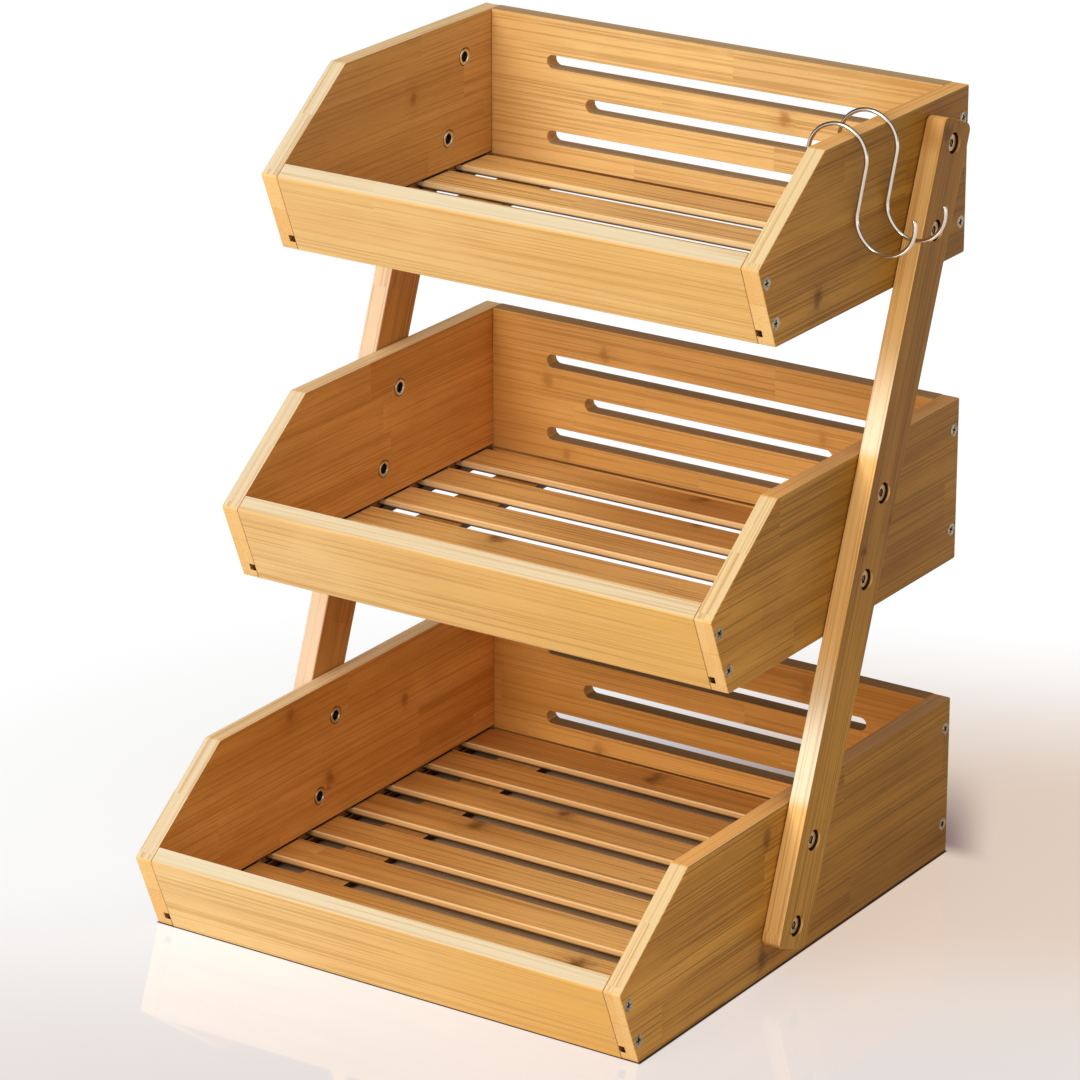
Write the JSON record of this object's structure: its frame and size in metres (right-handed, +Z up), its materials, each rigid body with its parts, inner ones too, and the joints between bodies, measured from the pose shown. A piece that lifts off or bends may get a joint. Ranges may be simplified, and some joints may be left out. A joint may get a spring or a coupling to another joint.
{
  "type": "tiered fruit basket stand",
  "caption": "Tiered fruit basket stand: open-fronted bamboo baskets with slatted floors on two leaning uprights, with wire S-hooks on the top edge.",
  "frame": {"origin": "middle of the lower back board's underside, on the surface that the stand stands on and on the plane that the stand is symmetric about", "axes": "+Z up, -Y towards the open fronts, +X towards the side that carries the hooks"},
  "size_m": [0.3476, 0.3271, 0.436],
  "materials": {
    "bamboo_front": "satin lacquer",
    "bamboo_side": "satin lacquer",
    "bamboo_back": "satin lacquer",
    "bamboo_slat": "satin lacquer",
    "bamboo_batten": "sanded",
    "bamboo_upright": "satin lacquer",
    "zinc_bolt": "zinc plated",
    "hook_steel": "polished"
  },
  "bodies": {
    "stand": {"lower_front_board": "bamboo_front", "lower_back_board": "bamboo_back", "lower_left_panel": "bamboo_side", "lower_left_batten": "bamboo_batten", "lower_left_low_bolt": "zinc_bolt", "lower_left_high_bolt": "zinc_bolt", "lower_right_panel": "bamboo_side", "lower_right_batten": "bamboo_batten", "lower_right_low_bolt": "zinc_bolt", "lower_right_high_bolt": "zinc_bolt", "lower_floor_slat_1": "bamboo_slat", "lower_floor_slat_2": "bamboo_slat", "lower_floor_slat_3": "bamboo_slat", "lower_floor_slat_4": "bamboo_slat", "lower_floor_slat_5": "bamboo_slat", "lower_floor_slat_6": "bamboo_slat", "lower_floor_slat_7": "bamboo_slat", "lower_floor_slat_8": "bamboo_slat", "middle_front_board": "bamboo_front", "middle_back_board": "bamboo_back", "middle_left_panel": "bamboo_side", "middle_left_batten": "bamboo_batten", "middle_left_low_bolt": "zinc_bolt", "middle_left_high_bolt": "zinc_bolt", "middle_right_panel": "bamboo_side", "middle_right_batten": "bamboo_batten", "middle_right_low_bolt": "zinc_bolt", "middle_right_high_bolt": "zinc_bolt", "middle_floor_slat_1": "bamboo_slat", "middle_floor_slat_2": "bamboo_slat", "middle_floor_slat_3": "bamboo_slat", "middle_floor_slat_4": "bamboo_slat", "middle_floor_slat_5": "bamboo_slat", "middle_floor_slat_6": "bamboo_slat", "upper_front_board": "bamboo_front", "upper_back_board": "bamboo_back", "upper_left_panel": "bamboo_side", "upper_left_batten": "bamboo_batten", "upper_left_low_bolt": "zinc_bolt", "upper_left_high_bolt": "zinc_bolt", "upper_right_panel": "bamboo_side", "upper_right_batten": "bamboo_batten", "upper_right_low_bolt": "zinc_bolt", "upper_right_high_bolt": "zinc_bolt", "upper_floor_slat_1": "bamboo_slat", "upper_floor_slat_2": "bamboo_slat", "upper_floor_slat_3": "bamboo_slat", "upper_floor_slat_4": "bamboo_slat", "upper_floor_slat_5": "bamboo_slat", "left_upright": "bamboo_upright", "right_upright": "bamboo_upright"},
    "front_hook": {"front_s_hook": "hook_steel"},
    "rear_hook": {"rear_s_hook": "hook_steel"}
  },
  "joints": [
    {"name": "front_hook_slide", "type": "slide", "parent": "stand", "child": "front_hook", "axis": [0, 1, 0], "range_m": [-0.027, 0.013]},
    {"name": "rear_hook_slide", "type": "slide", "parent": "stand", "child": "rear_hook", "axis": [0, 1, 0], "range_m": [-0.013, 0.018]}
  ]
}
